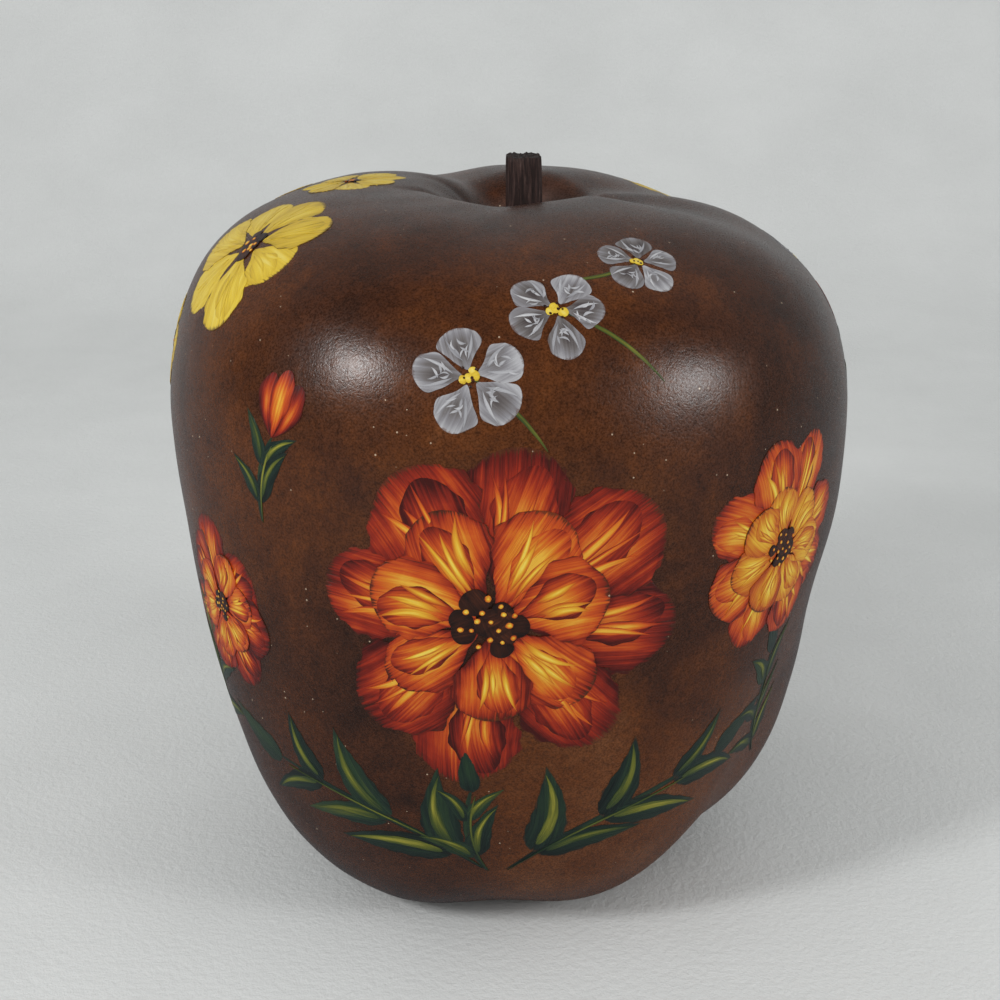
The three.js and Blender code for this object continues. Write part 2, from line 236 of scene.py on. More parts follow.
class Ripple(NamedTuple):
    """Faint waves of growth, a wave round the fruit times one along it, with a height in millimetres."""

    height: float
    around: int
    lean: float
    phase: float
    along: float
    start: float


@dataclass(frozen=True)
class Skin:
    """The outer skin of the fruit as a formula of the place along its outline and the angle round it.

    The pulls say how far each curve of the outline leans out from its ends, as shares of its span.
    """

    belly_radius: float = 90 * MM
    belly_height: float = 136 * MM
    crown_radius: float = 27.5 * MM
    crown_height: float = 191 * MM
    pit_depth: float = 17 * MM
    foot_radius: float = 32 * MM
    foot_depth: float = -1.2 * MM
    navel_height: float = 8 * MM
    pit_pull: float = 0.5
    crown_pull: float = 0.6
    shoulder_pull: float = 0.73
    cheek_pull: float = 0.52
    under_pull: float = 0.79
    foot_pull: float = 0.6
    navel_pull: float = 0.4
    side_bulge: float = 4.5 * MM
    stem_offset: float = 8.5 * MM
    navel_offset: float = -1 * MM
    offset_reach: float = 40 * MM
    shoulder_fall: float = 0.01
    furrow_half_angle: float = 18
    furrow_start: float = 22 * MM
    crown_ease: float = 1.5
    foot_ease: float = 1.2
    samples_per_span: int = 400
    furrows: tuple[Furrow, ...] = (
        Furrow(0, 1.2 * MM, 3.4 * MM), Furrow(61, 0, 5 * MM), Furrow(84, 3.8 * MM, 0),
        Furrow(120, 4.1 * MM, 5.5 * MM), Furrow(201, 3.3 * MM, 5.3 * MM), Furrow(274, 0, 8.2 * MM))
    dents: tuple[Dent, ...] = (
        Dent(90, 112 * MM, -0.8 * MM), Dent(90, 85 * MM, 1.8 * MM), Dent(90, 28 * MM, -2.5 * MM))
    dent_half_angle: float = 28
    dent_half_height: float = 18 * MM
    creases: tuple[Crease, ...] = (
        Crease(284, 0.7 * MM, 6, 8 * MM, 32 * MM), Crease(236, 0.3 * MM, 6, 9 * MM, 30 * MM))
    crease_ease: float = 1.4
    ripples: tuple[Ripple, ...] = (
        Ripple(0.22, 3, 52, 1.1, 64, 0.4), Ripple(0.16, 7, -31, 2.0, 118, 1.3),
        Ripple(0.07, 13, 90, 0, 190, 0.7))
    ripple_start: float = 8 * MM
    ripple_reach: float = 30 * MM

    @property
    def seat_height(self) -> float:
        """Height of the stem's seat at the bottom of the pit."""
        return self.crown_height - self.pit_depth

    @cached_property
    def table(self) -> dict[str, np.ndarray]:
        """Follows the outline from the stem's seat to the navel at close steps.

        Returns:
            Columns of station, arc length, radius, height and outward normal, one entry a step.
        """
        seat = (0.0, self.seat_height)
        crown = (self.crown_radius, self.crown_height)
        belly = (self.belly_radius, self.belly_height)
        foot = (self.foot_radius, self.foot_depth)
        navel = (0.0, self.navel_height)
        over, above = self.belly_radius - self.crown_radius, self.crown_height - self.belly_height
        under, pit = self.belly_radius - self.foot_radius, self.pit_pull * crown[0]
        spans = (
            (seat, (pit, seat[1]), (pit, crown[1]), crown),
            (crown, (crown[0] + self.crown_pull * over, crown[1]),
             (belly[0], belly[1] + self.shoulder_pull * above), belly),
            (belly, (belly[0], self.cheek_pull * belly[1]),
             (foot[0] + self.under_pull * under, foot[1]), foot),
            (foot, (self.foot_pull * foot[0], foot[1]), (self.navel_pull * foot[0], navel[1]), navel),
        )
        share = np.linspace(0, 1, self.samples_per_span)[:, None]
        rest = 1 - share
        points, slopes = [], []
        for start, leave, arrive, end in np.array(spans):
            points.append(rest ** 3 * start + 3 * rest ** 2 * share * leave
                          + 3 * rest * share ** 2 * arrive + share ** 3 * end)
            slopes.append(rest ** 2 * (leave - start) + 2 * rest * share * (arrive - leave)
                          + share ** 2 * (end - arrive))
        place, slope = np.concatenate(points), np.concatenate(slopes)
        slope /= np.linalg.norm(slope, axis=1)[:, None]
        arc = np.concatenate([[0], np.cumsum(np.linalg.norm(np.diff(place, axis=0), axis=1))])
        station = np.concatenate([number + share[:, 0] for number in range(len(spans))])
        return {"station": station, "arc": arc, "radius": place[:, 0], "height": place[:, 1],
                "across": -slope[:, 1], "up": slope[:, 0]}

    def at(self, arc: np.ndarray, column: str) -> np.ndarray:
        """Reads one column of the outline's table at arc lengths from the stem's seat."""
        return np.interp(arc, self.table["arc"], self.table[column])

    def arc_of_height(self, height: float) -> float:
        """Arc length at which the outside of the fruit has a height over the floor."""
        outside = (self.table["station"] >= 1) & (self.table["station"] <= 3)
        return float(np.interp(-height, -self.table["height"][outside], self.table["arc"][outside]))

    def arc_of_radius(self, radius: float) -> float:
        """Arc length at which the stem pit has a radius."""
        pit = self.table["station"] <= 1
        return float(np.interp(radius, self.table["radius"][pit], self.table["arc"][pit]))

    def nearness(self, angle: np.ndarray, degrees: float, half_angle: float) -> np.ndarray:
        """Share that is 1 where angles in radians meet one in degrees, and fades to either side."""
        away = (angle - math.radians(degrees) + math.pi) % math.tau - math.pi
        return np.exp(-(away / math.radians(half_angle)) ** 2)

    def depth(self, radius: np.ndarray, height: np.ndarray, angle: np.ndarray,
              arc: np.ndarray) -> np.ndarray:
        """How far the skin is sunk by its furrows, dents and creases and the ripples of its growth.

        Args:
            radius: the outline's radius at each point.
            height: the outline's height at each point.
            angle: the angle at each point, in radians.
            arc: the arc length at each point.

        Returns:
            Depth at each point, in metres.
        """
        rise = np.clip((height - self.belly_height) / (self.crown_height - self.belly_height), 0, 1)
        drop = np.clip((self.belly_height - height) / self.belly_height, 0, 1)
        sunk = np.zeros_like(radius)
        for furrow in self.furrows:
            share = self.nearness(angle, furrow.angle, self.furrow_half_angle)
            sunk += share * (furrow.crown * rise ** self.crown_ease
                             + furrow.foot * smoothstep(self.foot_ease * drop))
        sunk *= smoothstep(radius / self.furrow_start)
        for dent in self.dents:
            share = self.nearness(angle, dent.angle, self.dent_half_angle)
            sunk += dent.depth * share * np.exp(-((height - dent.height) / self.dent_half_height) ** 2)
        for crease in self.creases:
            share = self.nearness(angle, crease.angle, crease.half_angle)
            middle, reach = (crease.inner + crease.outer) / 2, (crease.outer - crease.inner) / 2
            run = smoothstep(self.crease_ease * (1 - np.abs(radius - middle) / reach))
            sunk += crease.depth * share * run * (height > self.belly_height)
        waves = sum(ripple.height * np.sin(ripple.around * angle + ripple.lean * arc + ripple.phase)
                    * np.sin(ripple.along * arc + ripple.start) for ripple in self.ripples)
        return sunk + waves * MM * smoothstep((radius - self.ripple_start) / self.ripple_reach)

    def points(self, arc: np.ndarray, angle: np.ndarray, lift: np.ndarray | float = 0.0) -> np.ndarray:
        """Places points on the skin or a little over it.

        Args:
            arc: arc lengths from the stem's seat.
            angle: angles, in radians.
            lift: height over the skin.

        Returns:
            Coordinates, one row a point.
        """
        radius, height = self.at(arc, "radius"), self.at(arc, "height")
        sunk = self.depth(radius, height, angle, arc) - lift
        reach, level = radius - self.at(arc, "across") * sunk, height - self.at(arc, "up") * sunk
        bulge = 1 + self.side_bulge / self.belly_radius * np.sin(angle)
        offset = np.where(height > self.belly_height, self.stem_offset, self.navel_offset)
        from_axis = reach * np.sin(angle) * bulge + offset * (1 - smoothstep(radius / self.offset_reach))
        rise = (height - self.belly_height) / (self.crown_height - self.belly_height)
        level = level - self.shoulder_fall * from_axis * smoothstep(rise)
        return np.stack([from_axis - self.side_bulge, -reach * np.cos(angle), level], axis=-1)


SKIN = Skin()


# Finishes. Four limits turn the range between the first two into the one between the last two


class Look(NamedTuple):
    """What a finish gives its shader."""

    colour: Node
    roughness: Node | float
    relief: Node
    strength: float
    depth: float
    specular: float = 0.5


@dataclass(frozen=True)
class Finish:
    """The name, the pattern and the relief of a real material."""

    name: str

    def lay(self, add: AddNode) -> Look:
        """Builds the finish's pattern.

        Args:
            add: adds a node to its tree.

        Returns:
            What the pattern gives the shader.
        """
        raise NotImplementedError

    def material(self) -> bpy.types.Material:
        """Makes the finish's material.

        Returns:
            The material, which ends in a Principled surface with a bump.
        """
        material = bpy.data.materials.new(self.name)
        material.use_nodes = True
        material.node_tree.nodes.clear()
        add = partial(add_node, material.node_tree)
        look = self.lay(add)
        bump = add("Bump", {"Height": look.relief, "Strength": look.strength, "Distance": look.depth})
        add("OutputMaterial", (add("BsdfPrincipled", {
            "Base Color": look.colour, "Roughness": look.roughness, "Normal": bump,
            "Specular IOR Level": look.specular}),))
        return material


class Patch(NamedTuple):
    """A round patch on the rind that fades out towards its rim."""

    centre: Place
    reach: float
    share: float


@dataclass(frozen=True)
class StainedRind(Finish):
    """Hard gourd rind under brown leather dye and a brushed satin varnish.

    The dye soaks in unevenly, so orange brown shows wherever it lies thin, and the varnish breaks each
    highlight into a fine pebbled grain. Two of the lighter patches are painted light: the one on the
    lower front is painted bounce light from the floor, and the one round the stem lightens the pit
    partly as thinner dye and partly as painted light in its shade. The grey in the stem pit is partly
    dust and partly a painted sheen of the varnish. Pores, wrinkles and specks are drawn coarser than
    life, because they would be too fine to show.
    """

    name: str = "gourd_rind_dyed_satin_varnish"
    stain: Stops = (
        (0.22, "#27140b"), (0.42, "#3e1f0d"), (0.6, "#542b0c"), (0.8, "#653c1f"), (1.0, "#7f5638"))
    # Lighter patches. The first, round the stem, lightens the pit partly as thinner dye and partly as
    # painted light in its shade. The last, on the lower front, is painted bounce light from the floor
    thin_dye_and_painted_light: tuple[Patch, ...] = (
        Patch((4 * MM, 0, 180 * MM), 32 * MM, 0.12), Patch((12 * MM, -78 * MM, 150 * MM), 62 * MM, 0.22),
        Patch((-46 * MM, -58 * MM, 148 * MM), 54 * MM, 0.16),
        Patch((36 * MM, -60 * MM, 40 * MM), 84 * MM, 0.26))
    # Pale grey mixed into the stem pit, partly dust and partly a painted sheen of the varnish
    pit_dust_and_sheen: Patch = Patch((6 * MM, 0, 178 * MM), 24 * MM, 0.4)
    pit_dust_and_sheen_tone: str = "#8b7c77"
    speck: str = "#c9b59c"
    speck_share: float = 0.7
    cloud_size: float = 46 * MM
    blotch_size: float = 9 * MM
    pore_size: float = 0.5 * MM
    wrinkle_size: float = 1.4 * MM
    speck_spacing: float = 2.5 * MM
    speck_sizes: Limits = (0.6, 1.0, 0.0, 0.1)
    grain: Limits = (0.34, 0.66, 0.5, 1.6)
    gloss: Limits = (0.3, 0.7, 0.22, 0.34)
    relief: float = 0.048 * MM

    def lay(self, add: AddNode) -> Look:
        """Builds the rind's pattern, which bare skin and thin paint share.

        Args:
            add: adds a node to its tree.

        Returns:
            What the pattern gives the shader.
        """
        place = add("TexCoord").outputs["Object"]
        clouds, blotches, pores, wrinkles = [add("TexNoise", {
            "Vector": place, "Scale": 1 / size, "Detail": detail, "Roughness": 0.62, "Distortion": twist})
            for size, detail, twist in ((self.cloud_size, 5.0, 0.4), (self.blotch_size, 5.0, 0.3),
                                        (self.pore_size, 2.0, 0.0), (self.wrinkle_size, 3.0, 0.5))]
        tone = add("Math", (blotches, 0.35, -0.2), operation="MULTIPLY_ADD")
        tone = add("Math", (clouds, 0.75, tone), operation="MULTIPLY_ADD")
        nearness = []
        for patch in (*self.thin_dye_and_painted_light, self.pit_dust_and_sheen):
            distance = add("VectorMath", (place, patch.centre), operation="DISTANCE")
            nearness.append(add("MapRange", (distance, 0.3 * patch.reach, patch.reach, patch.share, 0.0),
                                interpolation_type="SMOOTHSTEP"))
        # Adds the lighter patches, of which the pit one and the lower-front one are painted light
        for near in nearness[:-1]:
            tone = add("Math", (tone, near), operation="ADD")
        colour = add("ValToRGB", (tone,), self.stain)
        shade = add("MapRange", (add("Mix", (0.4, pores, wrinkles), data_type="FLOAT"), *self.grain))
        colour = add("VectorMath", (colour, shade), operation="SCALE")
        cells = add("TexVoronoi", {"Vector": place, "Scale": 1 / self.speck_spacing})
        chance = add("SeparateXYZ", (cells.outputs["Color"],))
        dust = add("Math", (cells, add("MapRange", (chance, *self.speck_sizes))), operation="LESS_THAN")
        dust = add("Math", (dust, self.speck_share), operation="MULTIPLY")
        # Mixes in the pit's grey, partly dust and partly painted sheen, then the pale specks of dust
        for share, tone in ((nearness[-1], self.pit_dust_and_sheen_tone), (dust, self.speck)):
            colour = add("Mix", (share, colour, linear(tone)), data_type="RGBA")
        relief = add("Math", (blotches, 3.0, pores), operation="MULTIPLY_ADD")
        relief = add("Math", (relief, -1.5), operation="ADD")
        return Look(colour, add("MapRange", (pores, *self.gloss)), relief, 1.0, self.relief, 0.4)


RIND = StainedRind()


@dataclass(frozen=True)
class PaintFilm(Finish):
    """Craft acrylic laid on wet in wet with a bristle brush.

    One load of the brush carries two or three colours, which run together as long streaks, darker at the
    stroke's rims than in its heart. Where the brush ran dry, the rind shows between the bristle marks,
    which are drawn coarser than life so that they show.
    """

    blend: Stops
    heart: float = 0.95
    along: float = 0.15
    lots: float = 0.3
    streaks: Limits = (0.15, 0.85, 0.0, 1.0)
    bristle: float = 0.6 * MM
    pulls: tuple[Flat, ...] = ((0.03, 1), (0.02, 0.2))
    rim_load: Limits = (0.0, 0.12, -0.16, 0.12)
    tail_load: Limits = (0.72, 1.0, 0.0, -0.2)
    bareness: Limits = (0.22, 0.38, 1.0, 0.0)
    relief: float = 0.3 * MM

    def lay(self, add: AddNode) -> Look:
        """Builds the film's pattern, in which worn places show the rind's own.

        Args:
            add: adds a node to its tree.

        Returns:
            What the pattern gives the shader.
        """
        rind = RIND.lay(add)
        brush, place = [add("UVMap", uv_map=name) for name in ("brush", "place")]
        lot, dry = [add("Attribute", attribute_name=name).outputs["Fac"] for name in ("lot", "dry")]
        share, edge = add("SeparateXYZ", (place,)).outputs[:2]
        hairs, loads = [add("TexNoise", {
            "Vector": add("Mapping", {
                "Vector": brush, "Scale": (pull / self.bristle, width / self.bristle, 1.0)}),
            "Scale": 1.0, "Detail": 3.0, "Roughness": 0.6, "Distortion": 0.4}, noise_dimensions="2D")
            for pull, width in self.pulls]
        streak = add("Mix", (0.55, hairs, loads), data_type="FLOAT")
        tone = add("MapRange", (streak, *self.streaks), clamp=False)
        for feed, weight, middle in ((edge, self.heart, 0.42), (share, self.along, 0.5),
                                     (lot, self.lots, 0.5)):
            pushed = add("Math", (feed, weight, -weight * middle), operation="MULTIPLY_ADD")
            tone = add("Math", (tone, pushed), operation="ADD")
        colour = add("ValToRGB", (tone,), self.blend)
        rim, tail = add("MapRange", (edge, *self.rim_load)), add("MapRange", (share, *self.tail_load))
        load = add("Math", (add("Math", (rim, tail), operation="ADD"), hairs), operation="ADD")
        bare = add("Math", (add("MapRange", (load, *self.bareness)), dry), operation="MULTIPLY")
        return Look(add("Mix", (bare, colour, rind.colour), data_type="RGBA"), 0.36,
                    add("Mix", (bare, hairs, rind.relief), data_type="FLOAT"), 0.55, self.relief, 0.4)


class Paint(Enum):
    """Brush loads on the painter's palette."""

    EMBER = PaintFilm("acrylic_crimson_to_orange", (
        (0.05, "#400a05"), (0.28, "#6e1406"), (0.5, "#952406"), (0.74, "#ba4a0a"), (1.0, "#cd7a20")))
    FLAME = PaintFilm("acrylic_red_to_gold", (
        (0.0, "#5c1106"), (0.2, "#962706"), (0.42, "#bd490a"), (0.66, "#cd7514"), (0.95, "#dba834")))
    SUN = PaintFilm("acrylic_orange_to_yellow", (
        (0.0, "#a03c08"), (0.24, "#be620d"), (0.5, "#cd8a1a"), (0.75, "#dbab2c"), (1.0, "#e2c752")))
    YELLOW = PaintFilm("acrylic_yellow", (
        (0.0, "#8f7a1c"), (0.25, "#c2a126"), (0.6, "#d8bb38"), (0.95, "#ddcb6a")), heart=0.4)
    LEAF = PaintFilm("acrylic_deep_green", (
        (0.1, "#0c1815"), (0.42, "#182a22"), (0.72, "#263c25"), (1.0, "#4d541e")), heart=0.3)
    LIME = PaintFilm("acrylic_yellow_green", (
        (0.06, "#1c3020"), (0.36, "#3d4a1d"), (0.64, "#66691f"), (0.92, "#9b9433")), heart=0.5)
    PALE = PaintFilm("acrylic_milky_grey", (
        (0.1, "#453d3d"), (0.38, "#65605f"), (0.62, "#807e82"), (0.92, "#a9a9ac")), heart=-0.5,
        bristle=1.0 * MM)
    WHITE = PaintFilm("acrylic_grey_white", (
        (0.06, "#77767b"), (0.4, "#98989c"), (0.7, "#b4b4b7"), (0.94, "#cbcbcb")), heart=0.2)
    BROWN = PaintFilm("acrylic_burnt_umber", (
        (0.06, "#120907"), (0.4, "#241009"), (0.7, "#3b1a0c"), (0.94, "#582a10")), heart=0.3)


# The painted design


class Form(Enum):
    """What a brush mark looks like from its start to its end."""

    PETAL = "narrow foot, wide round end"
    COMMA = "round head, long thin tail"
    LINE = "even width"
    LICK = "thin at both ends"
    DAB = "short round touch"


@dataclass(frozen=True)
class Stroke:
    """One brush mark in the flat of its motif, in metres, with +x to the right and +y up."""

    start: Flat
    end: Flat
    width: float
    form: Form
    paint: Paint
    layer: float = 0
    bow: float = 0.0
    dry: float = 0.0
    body: float = 0.015 * MM

    def half_width(self, share: np.ndarray) -> np.ndarray:
        """Finds half the mark's width, before its ends are rounded.

        Args:
            share: places along it, from 0 to 1.

        Returns:
            Half the width at each place.
        """
        taper = {
            Form.PETAL: 0.3 + 0.7 * smoothstep(share / 0.68),
            Form.COMMA: 1.3 * np.clip(1 - share, 0, 1) ** 0.75 + 0.1,
            Form.LINE: 0.8 + 0.2 * np.sin(math.pi * share),
            Form.LICK: 0.12 + 0.88 * np.sin(math.pi * share ** 0.8),
            Form.DAB: np.ones_like(share),
        }[self.form]
        return self.width / 2 * taper


@dataclass
class Brush:
    """Lays strokes on the skin as thin films with a raised middle and a buried underside.

    A layer's rim clears the middle of the layer below it, so that no stroke cuts through another.
    """

    rows: int = 18
    columns: int = 7
    layer_step: float = 0.035 * MM
    rim_lift: float = 0.03 * MM
    rim_share: float = 0.3
    film_depth: float = 0.9 * MM
    wander: float = 0.05
    smooth_below: float = 40

    @cached_property
    def palette(self) -> dict[Paint, bpy.types.Material]:
        """Every load of paint as a material."""
        return {paint: paint.value.material() for paint in Paint}

    @cached_property
    def mark(self) -> Piece:
        """Adds the flat grid that every stroke is a copy of.

        Returns:
            The grid, which is put away once all is painted.
        """
        pick()
        bpy.ops.mesh.primitive_grid_add(x_subdivisions=self.rows, y_subdivisions=self.columns, size=2,
                                        calc_uvs=True)
        bpy.context.object.name = "brush_mark"
        return bpy.context.object

    def lay(self, stroke: Stroke, spot: "Motif") -> Piece:
        """Lays one stroke.

        Args:
            stroke: the brush mark.
            spot: the motif that it belongs to.

        Returns:
            The stroke as an open sheet on the skin.
        """
        mesh = self.mark.data.copy()
        square = read_places(mesh)[:, :2]
        along = square[:, 0] * np.sqrt(1 - square[:, 1] ** 2 / 2)
        across = square[:, 1] * np.sqrt(1 - square[:, 0] ** 2 / 2)
        edge = 1 - np.max(np.abs(square), axis=1)
        share = (along + 1) / 2
        start, end = np.array(stroke.start), np.array(stroke.end)
        run = end - start
        length = float(np.linalg.norm(run))
        side = np.array([-run[1], run[0]]) / length
        middle = (start + end) / 2 + side * stroke.bow * length
        centre = (np.outer((1 - share) ** 2, start) + np.outer(2 * share * (1 - share), middle)
                  + np.outer(share ** 2, end))
        heading = np.outer(1 - share, middle - start) + np.outer(share, end - middle)
        heading /= np.linalg.norm(heading, axis=1)[:, None]
        phase = spot.vary(0, math.tau)
        rough = 1 + self.wander * (np.sin(9 * share + phase) + np.sin(23 * share * length / (20 * MM)
                                                                      + 5 * phase + 2 * across))
        sideways = across * stroke.half_width(share) * rough
        flat = centre + np.stack([-heading[:, 1], heading[:, 0]], axis=1) * sideways[:, None]
        plateau = smoothstep(edge / self.rim_share)
        lift = self.rim_lift + stroke.layer * self.layer_step + stroke.body * plateau
        angle, arc = spot.wrap(flat)
        mesh.vertices.foreach_set("co", SKIN.points(arc, angle, lift).ravel())
        loops = np.zeros(len(mesh.loops), dtype=int)
        mesh.loops.foreach_get("vertex_index", loops)
        jump = spot.vary(0, 900) * MM
        mesh.uv_layers[0].name = "brush"
        mesh.uv_layers.new(name="place")
        for name, columns in (("brush", (share * length + jump, sideways + 0.37 * jump)),
                              ("place", (share, edge))):
            mesh.uv_layers[name].data.foreach_set("uv", np.stack(columns, axis=1)[loops].ravel())
        for name, value in (("lot", spot.draw.random()), ("dry", stroke.dry)):
            mesh.attributes.new(name, "FLOAT", "POINT").data.foreach_set("value", np.full(len(share), value))
        mesh.materials.append(self.palette[stroke.paint])
        mesh.update()
        piece = bpy.data.objects.new("stroke", mesh)
        bpy.context.scene.collection.objects.link(piece)
        return piece

    def put_away(self) -> None:
        """Removes the flat grid once all is painted."""
        bpy.data.objects.remove(self.mark)


@dataclass
class Motif:
    """A painted figure that stands on the skin at an angle and a height.

    Its height and its sizes are in millimetres, and its turn is in degrees.
    """

    name: str
    angle: float
    height: float
    turn: float = 0.0
    seed: int = 0

    @cached_property
    def draw(self) -> random.Random:
        """The motif's own random numbers."""
        return random.Random(self.seed)

    def vary(self, low: float, high: float) -> float:
        """Draws a random number between two limits."""
        return self.draw.uniform(low, high)

    def strokes(self) -> list[Stroke]:
        """Plans the brush marks, lowest first."""
        raise NotImplementedError

    def petal(self, heading: float, inner: float, outer: float, width: float, load: Paint, tip: Paint,
              layer: int) -> list[Stroke]:
        """One petal: a broad stroke, a half one beside it, and licks drawn with a freshly loaded tip.

        Args:
            heading: where it points, in degrees clockwise from straight up.
            inner: how far from the flower's centre it starts.
            outer: how far from the centre it ends.
            width: its greatest width.
            load: the paint of the broad strokes.
            tip: the paint of the licks.
            layer: the broad stroke's layer. The petal takes up three.

        Returns:
            Its strokes, lowest first.
        """
        bow, span = self.vary(-0.12, 0.12), outer - inner
        spread = math.degrees(width / outer)
        side = self.draw.choice((-1, 1))
        marks = [Stroke(polar(inner, heading), polar(outer, heading), width, Form.PETAL, load, layer,
                        bow, 0.8),
                 Stroke(polar(inner + 0.1 * span, heading + 0.1 * side * spread),
                        polar(outer - 0.1 * span, heading + 0.2 * side * spread), width * 0.52, Form.PETAL,
                        load, layer + 1, bow + 0.1 * side)]
        for number, place in enumerate((-0.27, -0.02, 0.2)):
            away = heading + (place + self.vary(-0.08, 0.08)) * spread
            ends = self.vary(0.12, 0.35), self.vary(0.7, 0.92)
            marks.append(Stroke(polar(inner + ends[0] * span, away), polar(inner + ends[1] * span, away),
                                width * self.vary(0.06, 0.12), Form.LICK, tip, layer + 2 + 0.3 * number,
                                bow + place * 0.5))
        return marks

    def dots(self, reach: float, size: float, count: int, load: Paint, layer: int) -> list[Stroke]:
        """Touches of the brush's tip, spread evenly over the motif's heart.

        Args:
            reach: the radius that they cover.
            size: how large a touch is.
            count: how many.
            load: their paint.
            layer: their layer.

        Returns:
            The touches.
        """
        marks = []
        for number in range(count):
            start = polar(reach * math.sqrt(number / count), number * GOLDEN_ANGLE)
            wide = size * self.vary(0.75, 1.25)
            across, up = polar(wide, self.vary(0, 360))
            marks.append(Stroke(start, (start[0] + across, start[1] + up), wide * 1.1, Form.DAB, load,
                                layer, body=0.06 * MM))
        return marks

    def wrap(self, flat: np.ndarray) -> tuple[np.ndarray, np.ndarray]:
        """Wraps the motif's flat drawing onto the fruit.

        Args:
            flat: points of the drawing, in metres.

        Returns:
            The angle and the arc length of each point.
        """
        turn = math.radians(self.turn)
        right = flat[:, 0] * math.cos(turn) - flat[:, 1] * math.sin(turn)
        up = flat[:, 0] * math.sin(turn) + flat[:, 1] * math.cos(turn)
        arc = SKIN.arc_of_height(self.height * MM) - up
        radius = np.maximum(SKIN.at(arc, "radius"), 15 * MM)
        return math.radians(self.angle) + right / radius, arc

    def build(self, brush: Brush) -> Piece:
        """Paints the motif as one piece.

        Args:
            brush: what lays the strokes.

        Returns:
            The finished piece, riding on the gourd.
        """
        pick(*[brush.lay(stroke, self) for stroke in self.strokes()])
        bpy.ops.object.join()
        piece = bpy.context.object
        piece.name = self.name
        give_wall(piece, brush.film_depth)
        smooth_by_angle(piece, brush.smooth_below)
        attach(piece, BODY)
        return piece


@dataclass
class Rosette(Motif):
    """A round flower with a broad outer ring of petals, a smaller inner one and a dotted heart."""

    radius: float = 42
    petals: int = 8
    outer: Paint = Paint.EMBER
    inner: Paint = Paint.FLAME

    def strokes(self) -> list[Stroke]:
        """Plans the rings from the outside in, then the heart.

        Returns:
            The marks, lowest first.
        """
        size, marks = self.radius * MM, []
        first = self.vary(0, 40)
        for count, start, end, load, tip, layer in (
                (self.petals, 0.2, 1.0, self.outer, self.inner, 0),
                (self.petals - 1, 0.08, 0.66, self.inner, Paint.SUN, 6)):
            step = 360 / count
            for number in range(count):
                heading = first + (number + self.vary(-0.12, 0.12)) * step
                width = math.tau * size * end * 0.8 / count * self.vary(0.92, 1.12)
                marks += self.petal(heading, size * start, size * end * self.vary(0.88, 1.08), width,
                                    load, tip, layer + 3 * (number % 2))
            first += step / 2
        marks += self.dots(size * 0.12, size * 0.12, 12, Paint.BROWN, 12)
        return marks + self.dots(size * 0.17, size * 0.03, 16, Paint.SUN, 14)


@dataclass
class Daisy(Motif):
    """A flat flower of one ring of long petals round a brown heart."""

    radius: float = 17
    petals: int = 7

    def strokes(self) -> list[Stroke]:
        """Plans the petals, then the dotted heart.

        Returns:
            The marks, lowest first.
        """
        size, marks = self.radius * MM, []
        step = 360 / self.petals
        for number in range(self.petals):
            width = math.tau * size * 0.78 / self.petals * self.vary(0.9, 1.08)
            marks += self.petal(number * step + self.vary(-5, 5), size * 0.16,
                                size * self.vary(0.88, 1.06), width, Paint.YELLOW, Paint.YELLOW,
                                3 * (number % 2))
        marks += self.dots(size * 0.13, size * 0.14, 7, Paint.BROWN, 6)
        return marks + self.dots(size * 0.13, size * 0.05, 7, Paint.SUN, 8)


@dataclass
class Blossom(Motif):
    """A small blossom of milky paint with swirled white edges, on a stalk with its lean and its length."""

    radius: float = 12
    stalk: Flat = (0, 24)
    petals: int = 5
    licks: int = 6

    def strokes(self) -> list[Stroke]:
        """Plans the stalk, the petals with their swirls, and the heart.

        Returns:
            The marks, lowest first.
        """
        size = self.radius * MM
        marks = [Stroke((0, 0), polar(self.stalk[1] * MM, 180 + self.stalk[0]), 1.0 * MM, Form.LINE,
                        Paint.LIME, 0, 0.12)]
        for number in range(self.petals):
            heading = number * 360 / self.petals + self.vary(-6, 6)
            reach, width = size * self.vary(0.9, 1.05), size * self.vary(0.74, 0.9)
            marks.append(Stroke(polar(size * 0.14, heading), polar(reach, heading), width, Form.PETAL,
                                Paint.PALE, 1 + number % 2, self.vary(-0.1, 0.1), 0.5))
            for _ in range(self.licks):
                foot = polar(size * self.vary(0.34, 0.62), heading + self.vary(-14, 14))
                across, up = polar(size * self.vary(0.16, 0.26), heading + self.vary(-75, 75))
                marks.append(Stroke(foot, (foot[0] + across, foot[1] + up), size * self.vary(0.03, 0.06),
                                    Form.LICK, Paint.WHITE, 3, self.vary(-0.5, 0.5)))
            for side in (-1, 1):
                flank = heading + side * math.degrees(width / size) * 0.36
                marks.append(Stroke(polar(size * 0.3, heading + side * 6), polar(reach * 0.9, flank),
                                    size * 0.06, Form.LICK, Paint.WHITE, 3, side * -0.12))
        marks += self.dots(size * 0.1, size * 0.16, 4, Paint.YELLOW, 4)
        return marks + self.dots(size * 0.22, size * 0.05, 6, Paint.BROWN, 6)


